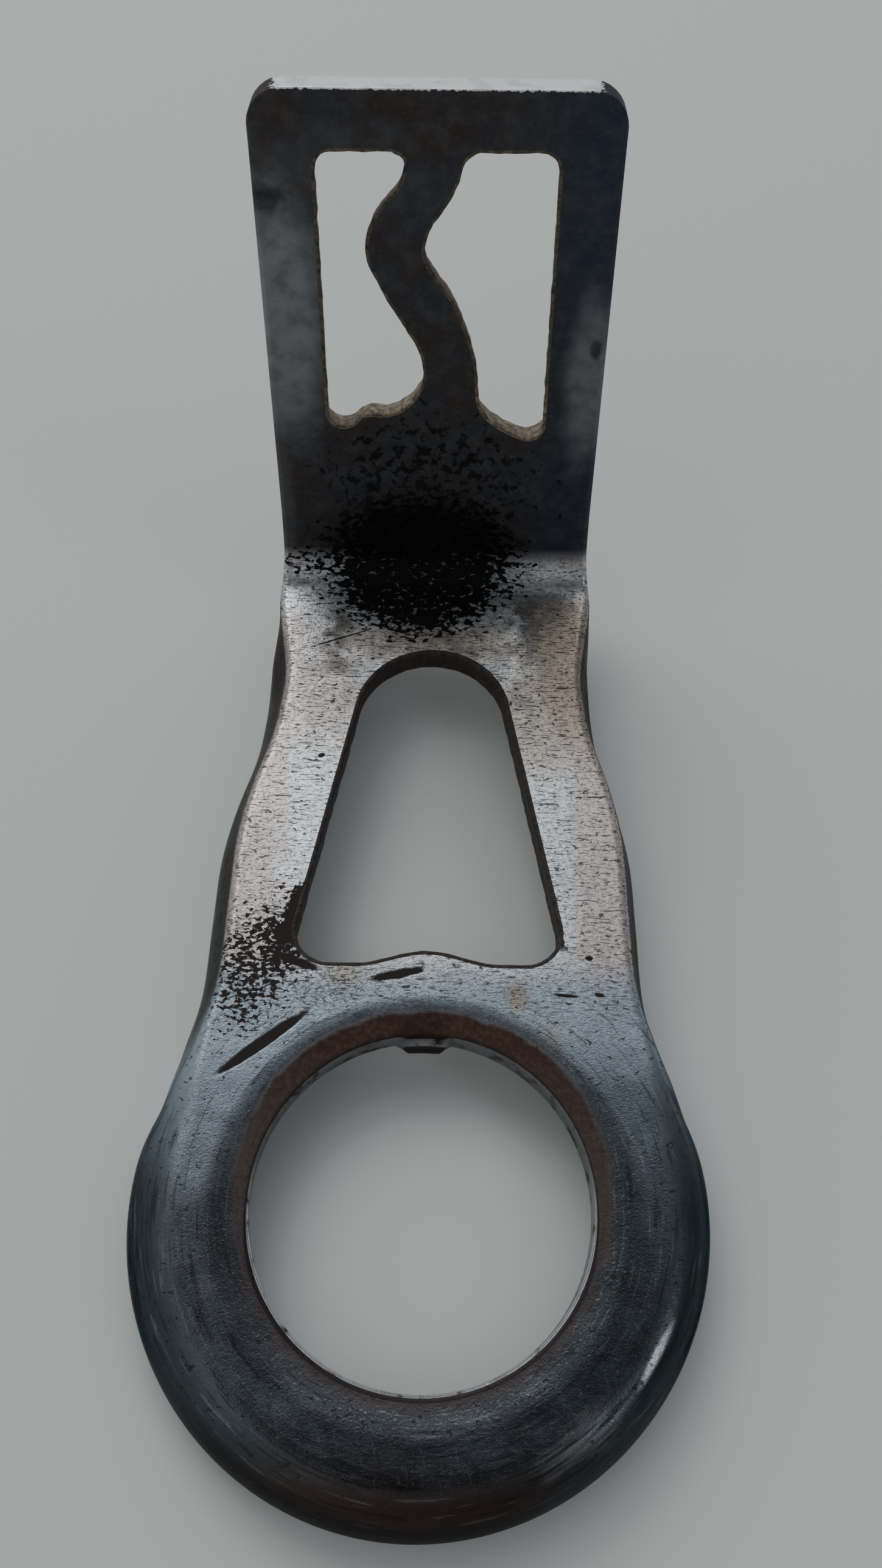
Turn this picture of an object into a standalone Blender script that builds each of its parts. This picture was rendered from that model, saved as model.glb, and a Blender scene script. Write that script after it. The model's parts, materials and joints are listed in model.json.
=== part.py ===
"""One-piece pressed steel bottle opener: a dished ring, a channel neck and an upturned end plate.

Metres, +Z up. X runs across the sheet, the ring points to -Y and the end plate rises at +Y. The opener stands on
the rim of its flange at z = 0, and the origin is under the middle of its bounding box.
"""

import math

import bmesh
import bpy
from mathutils import Matrix, Vector

MM = 0.001

# Sheet and flange
SHEET = 2.5 * MM
RIM_HEIGHT = 7.0 * MM  # from the surface it stands on to the top of the web

# End plate
PLATE_WIDTH = 28.0 * MM
PLATE_LENGTH = 43.3 * MM  # from the bend's sharp corner to the free end
PLATE_RISE = math.radians(74)  # between the plate and the web's plane
PLATE_CORNER = 2.8 * MM
BEND_RADIUS = 3.0 * MM  # on the inner side
BEND_STEPS = 12

# Window in the plate, as distances along the plate from the bend's sharp corner
WINDOW_HALF_WIDTH = 9.15 * MM
WINDOW_LOW_LEFT = 15.75 * MM
WINDOW_LOW_RIGHT = 14.8 * MM
WINDOW_HIGH = 38.8 * MM
WINDOW_CORNER = 1.3 * MM

# Ring, centred this far in front of the bend's sharp corner
RING_REACH = 57.7 * MM
RING_RADIUS = 22.35 * MM
RING_ROLL = 4.0 * MM  # outer radius of the rolled edge
HOLE_RADIUS = 13.0 * MM
HOLE_STEPS = 72
TOOTH_WIDTH = 3.2 * MM
TOOTH_REACH = 0.8 * MM
TOOTH_TOP = 1.0 * MM  # below the top of the web
TOOTH_ROOT = 1.0 * MM  # how far the tooth's block runs into the ring

# Neck
NECK_START = 1.5 * MM  # in front of the bend's sharp corner
NECK_ROLL = 2.3 * MM
RUN_OUT_START = 2.0 * MM  # where the flange rises out of the sheet, in front of the bend's sharp corner
RUN_OUT_END = 12.0 * MM  # where it has its full depth
ROLL_STEPS = 4

# Tapered opening in the neck
OPENING_TOP_RADIUS = 6.6 * MM
OPENING_TOP_REACH = 15.4 * MM  # centre of the rounded end, in front of the bend's sharp corner
OPENING_WIDE_HALF = 10.8 * MM
OPENING_WIDE_REACH = 35.9 * MM
OPENING_CORNER = 2.8 * MM
TONGUE_RISE = 1.1 * MM
TONGUE_HALF_WIDTH = 6.0 * MM

# Places that follow from the sizes
BACK_REACH = PLATE_LENGTH * math.cos(PLATE_RISE) + SHEET * math.sin(PLATE_RISE)
BEND_Y = (RING_REACH + RING_RADIUS - BACK_REACH) / 2
RING_Y = BEND_Y - RING_REACH
PAST = 2 * MM  # how far a cutter runs past the face that it cuts

# Turns a side profile, drawn as Y and Z and given its width, so that the width lies along X
ALONG_X = Matrix(((0, 0, 1, 0), (1, 0, 0, 0), (0, 1, 0, 0), (0, 0, 0, 1)))

# Colours as red, green, blue and alpha
PLATING = (0.62, 0.62, 0.63, 1.0)


def clear_scene():
    for obj in list(bpy.data.objects):
        bpy.data.objects.remove(obj, do_unlink=True)


def new_collection(name):
    collection = bpy.data.collections.new(name)
    bpy.context.scene.collection.children.link(collection)
    return collection


def plated_steel():
    """Worn bright plating on steel."""
    material = bpy.data.materials.new("worn_plating")
    material.use_nodes = True
    shader = material.node_tree.nodes["Principled BSDF"]
    shader.inputs["Base Color"].default_value = PLATING
    shader.inputs["Metallic"].default_value = 1.0
    shader.inputs["Roughness"].default_value = 0.32
    return material


def smooth_through(points, steps):
    """A Catmull-Rom curve through the points, with `steps` pieces to a span."""
    line = [Vector(p) for p in points]
    line = [2 * line[0] - line[1]] + line + [2 * line[-1] - line[-2]]
    found = []
    for a, b, c, d in zip(line, line[1:], line[2:], line[3:]):
        for step in range(steps):
            t = step / steps
            found.append(
                0.5 * (2 * b + (c - a) * t + (2 * a - 5 * b + 4 * c - d) * t**2 + (3 * b - a - 3 * c + d) * t**3)
            )
    found.append(line[-2])
    return [tuple(p) for p in found]


def arc(centre, radius, start, end, steps):
    """Points of an arc, with its angles in degrees from +X."""
    angles = [math.radians(start + (end - start) * step / steps) for step in range(steps + 1)]
    return [(centre[0] + radius * math.cos(a), centre[1] + radius * math.sin(a)) for a in angles]


def mirrored(right):
    """A closed outline from its right half, which runs from the top to the bottom of the centre line."""
    left = [(-x, y) for x, y in reversed(right) if x > MM / 1000]
    return right + left


def inset(points, distance):
    """The closed clockwise outline, moved inwards by a distance."""
    found = []
    for index, point in enumerate(points):
        before = Vector(points[index - 1])
        after = Vector(points[(index + 1) % len(points)])
        along = (after - before).normalized()
        found.append((point[0] + along.y * distance, point[1] - along.x * distance))
    return found


def prism(name, outline, low, high, collection):
    """A flat outline made a solid between two heights."""
    curve = bpy.data.curves.new(name, "CURVE")
    curve.dimensions = "2D"
    curve.fill_mode = "BOTH"
    curve.extrude = (high - low) / 2
    spline = curve.splines.new("POLY")
    spline.points.add(len(outline) - 1)
    for spot, (x, y) in zip(spline.points, outline):
        spot.co = (x, y, 0.0, 1.0)
    spline.use_cyclic_u = True
    guide = bpy.data.objects.new(name, curve)
    collection.objects.link(guide)
    graph = bpy.context.evaluated_depsgraph_get()
    mesh = bpy.data.meshes.new_from_object(guide.evaluated_get(graph))
    bpy.data.objects.remove(guide, do_unlink=True)
    mesh.transform(Matrix.Translation((0, 0, (low + high) / 2)))
    shape = bmesh.new()
    shape.from_mesh(mesh)
    bmesh.ops.remove_doubles(shape, verts=shape.verts, dist=MM / 100)
    for side in (-1, 1):
        cap = [face for face in shape.faces if face.normal.z * side > 0.9]
        bmesh.ops.dissolve_faces(shape, faces=cap)
    bmesh.ops.recalc_face_normals(shape, faces=shape.faces)
    shape.to_mesh(mesh)
    shape.free()
    mesh.name = name
    solid = bpy.data.objects.new(name, mesh)
    collection.objects.link(solid)
    return solid


def as_cutter(obj):
    obj.hide_render = True
    obj.display_type = "WIRE"
    return obj


def combine(target, other, operation):
    modifier = target.modifiers.new(f"{operation.lower()} {other.name}", "BOOLEAN")
    modifier.operation = operation
    modifier.object = other


def roll_top_edge(obj, height, radius_at, widest):
    """Rounds the outline's upper edge by a radius that follows the place along the body."""
    weights = obj.data.attributes.new("bevel_weight_edge", "FLOAT", "EDGE")
    for edge in obj.data.edges:
        ends = [obj.data.vertices[i].co for i in edge.vertices]
        if all(abs(end.z - height) < MM / 100 for end in ends):
            weights.data[edge.index].value = radius_at((ends[0].y + ends[1].y) / 2) / widest
    modifier = obj.modifiers.new("roll", "BEVEL")
    modifier.limit_method = "WEIGHT"
    modifier.width = widest
    modifier.segments = ROLL_STEPS
    modifier.use_clamp_overlap = False


def roll_radius(y):
    """The rolled edge's outer radius: tight along the neck, widening into the ring."""
    share = min(max((RING_Y + 14 * MM - y) / (10 * MM), 0.0), 1.0)
    return NECK_ROLL + (RING_ROLL - NECK_ROLL) * share


def inner_roll_radius(y):
    return max(roll_radius(y) - SHEET, 0.0)


def body_outline():
    """Half widths down the neck, then the ring's arc, clockwise from the bend."""
    neck = smooth_through(
        [
            (14.4 * MM, BEND_Y - NECK_START),
            (15.0 * MM, BEND_Y - 9 * MM),
            (15.7 * MM, BEND_Y - 16 * MM),
            (17.3 * MM, BEND_Y - 22 * MM),
            (18.2 * MM, BEND_Y - 27 * MM),
            (18.45 * MM, BEND_Y - 33 * MM),
            (18.7 * MM, BEND_Y - 39.5 * MM),
            (19.8 * MM, BEND_Y - 44.4 * MM),
        ],
        3,
    )
    return neck + arc((0, RING_Y), RING_RADIUS, 22, -202, 58) + [(-x, y) for x, y in reversed(neck)]


def opening_outline():
    """Rounded end by the bend, wide end by the ring, with a shallow tongue in the middle of it."""
    low = BEND_Y - OPENING_WIDE_REACH - OPENING_CORNER
    corner = (OPENING_WIDE_HALF - OPENING_CORNER, low + OPENING_CORNER)
    right = arc((0, BEND_Y - OPENING_TOP_REACH), OPENING_TOP_RADIUS, 90, 10, 12)
    right += arc(corner, OPENING_CORNER, 10, -90, 8)
    for step in range(1, 9):
        share = step / 8
        x = TONGUE_HALF_WIDTH * (1 - share)
        right.append((x, low + TONGUE_RISE * (1 - math.cos(math.pi * share)) / 2))
    return mirrored(right)


def strut_side(points):
    return smooth_through([(x * MM, s * MM) for x, s in points], 2)


def window_outlines():
    """The two openings either side of the curved strut, as distances across and along the plate."""
    r = WINDOW_CORNER
    edge = WINDOW_HALF_WIDTH - r
    left = strut_side(
        [(-3.4, 38.8), (-2.5, 38.2), (-2.9, 36.4), (-4.7, 34.2), (-5.5, 32.2), (-5.5, 30.6), (-4.9, 29.1)]
        + [(-3.9, 27.1), (-2.7, 25.1), (-1.6, 23.2), (-1.1, 21.4), (-1.2, 19.9), (-2.0, 18.4), (-2.9, 17.5)]
        + [(-4.2, 16.95), (-5.6, 17.0), (-6.5, 16.7), (-7.1, 16.05)]
    )
    left += arc((-edge, WINDOW_LOW_LEFT + r), r, 270, 180, 4)
    left += arc((-edge, WINDOW_HIGH - r), r, 180, 90, 4)
    right = strut_side(
        [(7.2, 15.0), (6.0, 15.6), (5.1, 16.2), (4.4, 16.85), (3.8, 17.8), (3.55, 19.2), (3.45, 20.9)]
        + [(3.1, 22.7), (2.5, 24.6), (1.5, 27.0), (0.2, 28.9), (-0.6, 30.2), (-0.9, 31.4), (-0.5, 32.9)]
        + [(0.6, 34.6), (1.6, 36.4), (2.1, 38.0), (3.0, 38.8)]
    )
    right += arc((edge, WINDOW_HIGH - r), r, 90, 0, 4)
    right += arc((edge, WINDOW_LOW_RIGHT + r), r, 0, -90, 4)
    return left, right


def on_plate():
    """From a flat outline, x across and y along, to its place on the plate's front face."""
    return Matrix.Translation((0, BEND_Y, RIM_HEIGHT)) @ Matrix.Rotation(PLATE_RISE, 4, "X")


def side_profile():
    """The bent strip seen from its side: web, bend and plate, as distances along Y and Z."""
    web_start = BEND_Y - NECK_START - 6 * MM
    tangent = BEND_RADIUS * math.tan(PLATE_RISE / 2)
    centre = (BEND_Y - tangent, RIM_HEIGHT + BEND_RADIUS)
    rise = math.degrees(PLATE_RISE)
    end = Vector((BEND_Y, RIM_HEIGHT)) + PLATE_LENGTH * Vector((math.cos(PLATE_RISE), math.sin(PLATE_RISE)))
    back = end + SHEET * Vector((math.sin(PLATE_RISE), -math.cos(PLATE_RISE)))
    outer = arc(centre, BEND_RADIUS + SHEET, -90 + rise, -90, BEND_STEPS)
    inner = arc(centre, BEND_RADIUS, -90, -90 + rise, BEND_STEPS)
    return [(web_start, RIM_HEIGHT)] + inner + [tuple(end), tuple(back)] + outer + [(web_start, RIM_HEIGHT - SHEET)]


def bent_strip(collection):
    """The web's end, the bend and the plate, with the plate's free corners rounded."""
    strip = prism("bent_strip", side_profile(), -PLATE_WIDTH / 2, PLATE_WIDTH / 2, collection)
    strip.data.transform(ALONG_X)
    weights = strip.data.attributes.new("bevel_weight_edge", "FLOAT", "EDGE")
    back = on_plate().inverted()
    for edge in strip.data.edges:
        ends = [back @ strip.data.vertices[i].co for i in edge.vertices]
        at_end = all(abs(end.y - PLATE_LENGTH) < MM / 100 for end in ends)
        if at_end and abs(ends[0].x - ends[1].x) < MM / 100:
            weights.data[edge.index].value = 1.0
    corners = strip.modifiers.new("corners", "BEVEL")
    corners.limit_method = "WEIGHT"
    corners.width = PLATE_CORNER
    corners.segments = 5
    return as_cutter(strip)


def hollow_cutter(collection):
    """The space under the web, open at the bend end and below."""
    outline = body_outline()
    open_end = BEND_Y + 8 * MM
    outline = [(outline[0][0], open_end)] + outline + [(outline[-1][0], open_end)]
    top = RIM_HEIGHT - SHEET
    cutter = prism("under_web", inset(outline, SHEET), -PAST, top, collection)
    roll_top_edge(cutter, top, inner_roll_radius, RING_ROLL - SHEET)
    return as_cutter(cutter)


def run_out_cutter(collection):
    """What is taken off the flange towards the bend, so that it rises smoothly out of the flat sheet."""
    steps = 10
    top = RIM_HEIGHT - SHEET
    curve = []
    for step in range(steps + 1):
        share = step / steps
        y = BEND_Y - RUN_OUT_END + (RUN_OUT_END - RUN_OUT_START) * share
        curve.append((y, top * (1 - math.cos(math.pi * share)) / 2))
    profile = [(curve[0][0], -PAST)] + curve + [(BEND_Y + PAST, top), (BEND_Y + PAST, -PAST)]
    cutter = prism("run_out", profile, -PLATE_WIDTH, PLATE_WIDTH, collection)
    cutter.data.transform(ALONG_X)
    return as_cutter(cutter)


def hole_cutter(collection):
    bpy.ops.mesh.primitive_cylinder_add(
        vertices=HOLE_STEPS,
        radius=HOLE_RADIUS,
        depth=RIM_HEIGHT + 2 * PAST,
        location=(0, RING_Y, RIM_HEIGHT / 2),
    )
    cutter = bpy.context.object
    cutter.name = "hole"
    for holder in cutter.users_collection:
        holder.objects.unlink(cutter)
    collection.objects.link(cutter)
    return as_cutter(cutter)


def tooth(collection):
    """The small tooth at the neck side of the hole, on the lower part of its wall."""
    depth = SHEET - TOOTH_TOP
    bpy.ops.mesh.primitive_cube_add(size=1)
    block = bpy.context.object
    block.name = "tooth"
    inner_end = RING_Y + HOLE_RADIUS - TOOTH_REACH
    place = Matrix.Translation((0, inner_end + (TOOTH_REACH + TOOTH_ROOT) / 2, RIM_HEIGHT - SHEET + depth / 2))
    block.data.transform(place @ Matrix.Diagonal((TOOTH_WIDTH, TOOTH_REACH + TOOTH_ROOT, depth, 1)))
    for holder in block.users_collection:
        holder.objects.unlink(block)
    collection.objects.link(block)
    return as_cutter(block)


def pressed_body(parts, cutters):
    """Body shell, bent strip and tooth made one, then pierced."""
    body = prism("pressed_body", body_outline(), 0.0, RIM_HEIGHT, parts)
    roll_top_edge(body, RIM_HEIGHT, roll_radius, RING_ROLL)
    combine(body, hollow_cutter(cutters), "DIFFERENCE")
    combine(body, run_out_cutter(cutters), "DIFFERENCE")
    combine(body, bent_strip(cutters), "UNION")
    combine(body, hole_cutter(cutters), "DIFFERENCE")
    combine(body, tooth(cutters), "UNION")
    opening = prism("tapered_opening", opening_outline(), -PAST, RIM_HEIGHT + PAST, cutters)
    combine(body, as_cutter(opening), "DIFFERENCE")
    for side, outline in zip(("left", "right"), window_outlines()):
        window = prism(f"window_{side}", outline, -SHEET - PAST, PAST, cutters)
        window.matrix_world = on_plate()
        combine(body, as_cutter(window), "DIFFERENCE")
    body.data.shade_smooth()
    body.data.set_sharp_from_angle(angle=math.radians(35))
    body.data.materials.append(plated_steel())
    return body


def main():
    clear_scene()
    parts = new_collection("bottle_opener")
    cutters = new_collection("cutters")
    pressed_body(parts, cutters)


if __name__ == "__main__":
    main()
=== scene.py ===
"""Worn pressed-steel bottle opener: the bent sheet, its plating and tarnish, and a plain studio stage.

Metres, +Z up. The opener stands on its flange's rim at z = 0, with the ring towards -Y and the end
plate at +Y.
"""

import json
import math

import bmesh
import bpy
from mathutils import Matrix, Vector, noise

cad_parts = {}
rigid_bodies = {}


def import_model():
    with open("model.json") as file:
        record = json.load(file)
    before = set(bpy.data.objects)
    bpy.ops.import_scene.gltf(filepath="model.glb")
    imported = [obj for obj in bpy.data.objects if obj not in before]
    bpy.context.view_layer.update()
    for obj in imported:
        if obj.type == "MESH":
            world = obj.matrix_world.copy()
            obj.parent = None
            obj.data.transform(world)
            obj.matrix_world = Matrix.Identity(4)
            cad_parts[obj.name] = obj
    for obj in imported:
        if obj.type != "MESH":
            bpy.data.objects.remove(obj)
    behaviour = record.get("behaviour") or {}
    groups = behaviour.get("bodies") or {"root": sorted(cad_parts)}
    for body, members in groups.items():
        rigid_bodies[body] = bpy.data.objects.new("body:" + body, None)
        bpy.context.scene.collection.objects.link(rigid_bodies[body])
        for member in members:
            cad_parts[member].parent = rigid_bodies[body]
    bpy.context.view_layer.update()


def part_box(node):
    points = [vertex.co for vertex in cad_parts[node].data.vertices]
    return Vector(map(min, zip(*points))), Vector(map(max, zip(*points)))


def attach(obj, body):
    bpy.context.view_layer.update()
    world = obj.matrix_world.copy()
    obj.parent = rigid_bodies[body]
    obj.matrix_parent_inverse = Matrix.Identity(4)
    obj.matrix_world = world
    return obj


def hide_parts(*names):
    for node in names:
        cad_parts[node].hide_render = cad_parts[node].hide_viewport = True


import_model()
BODY_NODE = "pressed_body"
LOW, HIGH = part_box(BODY_NODE)

bl_info = {
    "name": "Pressed bottle opener",
    "version": (1, 0, 0),
    "blender": (4, 5, 0),
    "location": "3D View > Sidebar > Opener",
    "description": "Builds a worn, plated, one-piece bottle opener and its studio stage",
    "category": "Add Mesh",
}

MM = 0.001

# Points nearer than this are one point
SAME_PLACE = 1e-7

# The height of the sheet's upper face along the neck, and the plate's slope
WEB_TOP = 7.0 * MM
PLATE_RISE = math.radians(74)

# The ring and the plate's length, worked out from the frame
RING_RADIUS = HIGH.x
RING_Y = LOW.y + RING_RADIUS
PLATE_LENGTH = (HIGH.z - WEB_TOP) / math.sin(PLATE_RISE)


# ---------------------------------------------------------------- settings


def size(label, about, value):
    return bpy.props.FloatProperty(name=label, description=about, default=value, unit="LENGTH")


def colour(label, about, *value):
    return bpy.props.FloatVectorProperty(
        name=label, description=about, default=(*value, 1.0), subtype="COLOR", size=4, min=0, max=1
    )


class SheetSizes(bpy.types.PropertyGroup):
    """Sizes of the pressed sheet."""

    thickness: size("Sheet thickness", "Thickness of the steel", 2.5 * MM)
    plate_width: size("Plate width", "Width of the upturned end plate", 28 * MM)
    plate_corner: size("Plate corner", "Radius of the plate's free corners", 2.8 * MM)
    bend_radius: size("Bend radius", "Inner radius of the bend", 3.0 * MM)
    edge: size("Edge rounding", "Rounding of the plate's long edges", 0.45 * MM)
    end_edge: size("End rounding", "Rounding of the plate's end", 0.16 * MM)
    neck_roll: size("Neck roll", "Outer radius of the rolled edge along the neck", 0.95 * MM)
    ring_roll: size("Ring roll", "Outer radius of the rolled edge round the ring", 4.1 * MM)
    neck_flare: size("Neck flare", "How far the neck's flange leans out", 1.7 * MM)
    lean: size("Lean", "How far the whole flange leans to -X at its rim", 0.4 * MM)
    hole_radius: size("Hole radius", "Radius of the ring's hole", 13 * MM)
    hole_edge: size("Hole edge", "Rounding of the hole's upper edge", 0.55 * MM)
    hole_dish: size("Hole dish", "How far the hole's edge dips", 0.4 * MM)
    tooth: size("Tooth", "How far the hole's small tooth stands out", 0.85 * MM)
    burr: size("Burr", "Roughness of the pierced walls", 0.07 * MM)


# ---------------------------------------------------------------- outlines on the flat sheet
# The sheet is drawn flat, as it was before it was bent: x across it, and y along it, with the bend's
# sharp corner at 0, the ring at negative y and the plate at positive y. z is minus the depth below
# the upper face.

# Spacing of the points along each kind of outline
OUTER_STEP = 0.55 * MM
TAPER_STEP = 0.4 * MM
WINDOW_STEP = 0.35 * MM

# The tapered cap opening: a round top, sides that lean out, and a wide end with a shallow tongue
TAPER_TOP = (0, -15.4 * MM)
TAPER_TOP_RADIUS = 6.6 * MM
TAPER_LOW = -38.7 * MM
TAPER_HALF_WIDTH = 10.8 * MM
TAPER_CORNER_RADIUS = 2.8 * MM
TAPER_CORNER = (TAPER_HALF_WIDTH - TAPER_CORNER_RADIUS, TAPER_LOW + TAPER_CORNER_RADIUS)
TAPER_SLANT = 10  # degrees
TONGUE_RISE = 1.1 * MM
TONGUE_REACH = 6 * MM


def ease(value, start, end):
    """0 before start, 1 after end, and a smooth rise between them. End may lie below start."""
    share = min(max((value - start) / (end - start), 0.0), 1.0)
    return share * share * (3 - 2 * share)


def mix(a, b, share):
    return a + (b - a) * share


def arc(centre, radius, start, end, steps):
    """Points of an arc, with its angles in degrees from +X."""
    x, y = centre
    angles = [math.radians(start + (end - start) * step / steps) for step in range(steps + 1)]
    return [Vector((x + radius * math.cos(angle), y + radius * math.sin(angle))) for angle in angles]


def smooth_through(points, steps=12):
    """A Catmull-Rom curve through the points."""
    line = [Vector(p) for p in points]
    line = [2 * line[0] - line[1]] + line + [2 * line[-1] - line[-2]]
    found = []
    for a, b, c, d in zip(line, line[1:], line[2:], line[3:]):
        for step in range(steps):
            t = step / steps
            bend = (2 * a - 5 * b + 4 * c - d) * t**2 + (3 * b - a - 3 * c + d) * t**3
            found.append(0.5 * (2 * b + (c - a) * t + bend))
    return found + [line[-2]]


def mirrored(right):
    """A closed clockwise outline from its right half, drawn from the top down to the bottom."""
    return right + [Vector((-p.x, p.y)) for p in reversed(right) if p.x > MM / 1000]


def evenly(outline, spacing):
    """The closed outline again, with points at an even spacing along it."""
    ends = outline + outline[:1]
    lengths = [(b - a).length for a, b in zip(ends, ends[1:])]
    count = max(12, round(sum(lengths) / spacing))
    step = sum(lengths) / count
    found, travelled, wanted = [], 0.0, 0.0
    for a, b, length in zip(ends, ends[1:], lengths):
        while wanted < travelled + length - 1e-9 and len(found) < count:
            found.append(a.lerp(b, (wanted - travelled) / length))
            wanted += step
        travelled += length
    return found


def rightward(outline):
    """At each point of a closed outline, the unit vector to the right of its direction."""
    found = []
    for index in range(len(outline)):
        along = (outline[(index + 1) % len(outline)] - outline[index - 1]).normalized()
        found.append(Vector((along.y, -along.x)))
    return found


class Flat:
    """Places on the flat sheet."""

    def __init__(self, sizes):
        self.sizes = sizes
        radius = sizes.bend_radius
        self.tangent = radius * math.tan(PLATE_RISE / 2)
        self.bend_length = radius * PLATE_RISE
        self.saved = 2 * self.tangent - self.bend_length
        self.plate_end = PLATE_LENGTH - self.saved
        self.bend_y = HIGH.y - PLATE_LENGTH * math.cos(PLATE_RISE) - sizes.thickness * math.sin(PLATE_RISE)
        self.ring_y = RING_Y - self.bend_y

    def along_plate(self, distance):
        """Where a distance up the plate, from the bend's sharp corner, falls on the flat sheet."""
        return distance - self.saved

    def fold(self, point):
        """Bends a point of the flat sheet to its place on the opener."""
        x, y, z = point
        start = -self.tangent
        if y <= start:
            return Vector((x, self.bend_y + y, WEB_TOP + z))
        radius = self.sizes.bend_radius
        angle = min((y - start) / radius, PLATE_RISE)
        beyond = max(y - start - self.bend_length, 0.0)
        reach = radius - z
        along = start + reach * math.sin(angle) + beyond * math.cos(angle)
        height = radius - reach * math.cos(angle) + beyond * math.sin(angle)
        return Vector((x, self.bend_y + along, WEB_TOP + height))


def outer_outline(flat):
    """Round the whole sheet: plate, neck and ring."""
    sizes = flat.sizes
    half, corner, end = sizes.plate_width / 2, sizes.plate_corner, flat.plate_end
    right = [Vector((0, end)), Vector((half / 2, end))]
    right += arc((half - corner, end - corner), corner, 90, 0, 12)
    right += [Vector((half, end / 2)), Vector((half, 9 * MM))]
    right += smooth_through(
        [
            (half, 6 * MM),
            (half + 0.1 * MM, 1.5 * MM),
            (14.5 * MM, -2.5 * MM),
            (15.0 * MM, -9 * MM),
            (15.7 * MM, -16 * MM),
            (17.3 * MM, -22 * MM),
            (18.2 * MM, -27 * MM),
            (18.45 * MM, -33 * MM),
            (18.7 * MM, -39.5 * MM),
            (19.7 * MM, -44 * MM),
            (20.6 * MM, -47.6 * MM),
        ]
    )
    right += arc((0, flat.ring_y), RING_RADIUS, 19, -90, 90)
    return evenly(mirrored(right), OUTER_STEP)


def hole_outline(flat):
    return arc((0, flat.ring_y), flat.sizes.hole_radius, 90, -268, 179)


def tapered_arcs():
    """The tapered opening's round top and its wide corner, on the right half."""
    top = arc(TAPER_TOP, TAPER_TOP_RADIUS, 90, TAPER_SLANT, 20)
    corner = arc(TAPER_CORNER, TAPER_CORNER_RADIUS, TAPER_SLANT, -90, 14)
    return top, corner


def tapered_outline():
    """The cap opening: round by the bend, wide by the ring, with a shallow tongue in its wide end."""
    steps = 16
    top, corner = tapered_arcs()
    tongue = []
    for step in range(1, steps + 1):
        share = step / steps
        lift = TONGUE_RISE * (1 - math.cos(math.pi * share)) / 2
        tongue.append(Vector((TONGUE_REACH * (1 - share), TAPER_LOW + lift)))
    return evenly(mirrored(top + corner + tongue), TAPER_STEP)


def window_outlines(flat):
    """The openings either side of the plate's curved strut."""
    half, high, corner = 9.15 * MM, 38.8 * MM, 1.3 * MM
    low_left, low_right = 15.75 * MM, 14.8 * MM

    def side(points):
        return smooth_through([(x * MM, s * MM) for x, s in points])

    left = side(
        [(-3.4, 38.8), (-2.5, 38.2), (-2.9, 36.4), (-4.7, 34.2), (-5.5, 32.2), (-5.5, 30.6), (-4.9, 29.1)]
        + [(-3.9, 27.1), (-2.7, 25.1), (-1.6, 23.2), (-1.1, 21.4), (-1.2, 19.9), (-2.0, 18.4), (-2.9, 17.5)]
        + [(-4.2, 16.95), (-5.6, 17.0), (-6.5, 16.7), (-7.1, 16.05)]
    )
    left += arc((-half + corner, low_left + corner), corner, 270, 180, 8)
    left += arc((-half + corner, high - corner), corner, 180, 90, 8)
    right = side(
        [(7.2, 15.0), (6.0, 15.6), (5.1, 16.2), (4.4, 16.85), (3.8, 17.8), (3.55, 19.2), (3.45, 20.9)]
        + [(3.1, 22.7), (2.5, 24.6), (1.5, 27.0), (0.2, 28.9), (-0.6, 30.2), (-0.9, 31.4), (-0.5, 32.9)]
        + [(0.6, 34.6), (1.6, 36.4), (2.1, 38.0), (3.0, 38.8)]
    )
    right += arc((half - corner, high - corner), corner, 90, 0, 8)
    right += arc((half - corner, low_right + corner), corner, 0, -90, 8)
    found = []
    for outline in (left, right):
        placed = [Vector((p.x, flat.along_plate(p.y))) for p in outline]
        found.append(evenly(placed, WINDOW_STEP))
    return found


# ---------------------------------------------------------------- the sheet's mesh


def rows_from(outline, sides, section):
    """Rows of points round an outline. The section gives each point's steps as (inset, depth) pairs."""
    columns = [section(point) for point in outline]
    rows = []
    for step in zip(*columns):
        row = []
        for point, side, (inset, depth) in zip(outline, sides, step):
            place = point + side * inset
            row.append(Vector((place.x, place.y, -depth)))
        rows.append(row)
    return rows


def wrap(shape, rows, material):
    """A closed band through the rows, made by extruding the first row's loop again and again."""
    loop = [shape.verts.new(p) for p in rows[0]]
    edges = [shape.edges.new((a, b)) for a, b in zip(loop, loop[1:] + loop[:1])]
    first = edges
    for row in rows[1:]:
        made = bmesh.ops.extrude_edge_only(shape, edges=edges)["geom"]
        new_verts = {v for v in made if isinstance(v, bmesh.types.BMVert)}
        for face in (f for f in made if isinstance(f, bmesh.types.BMFace)):
            face.material_index = material
        following = []
        for vert, place in zip(loop, row):
            partner = next(far for far in (e.other_vert(vert) for e in vert.link_edges) if far in new_verts)
            partner.co = place
            following.append(partner)
        loop = following
        edges = [shape.edges.get((a, b)) for a, b in zip(loop, loop[1:] + loop[:1])]
    return first, edges


def quarter(steps):
    """Angles of a quarter turn, in equal steps."""
    return [math.pi / 2 * step / steps for step in range(steps + 1)]


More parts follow.
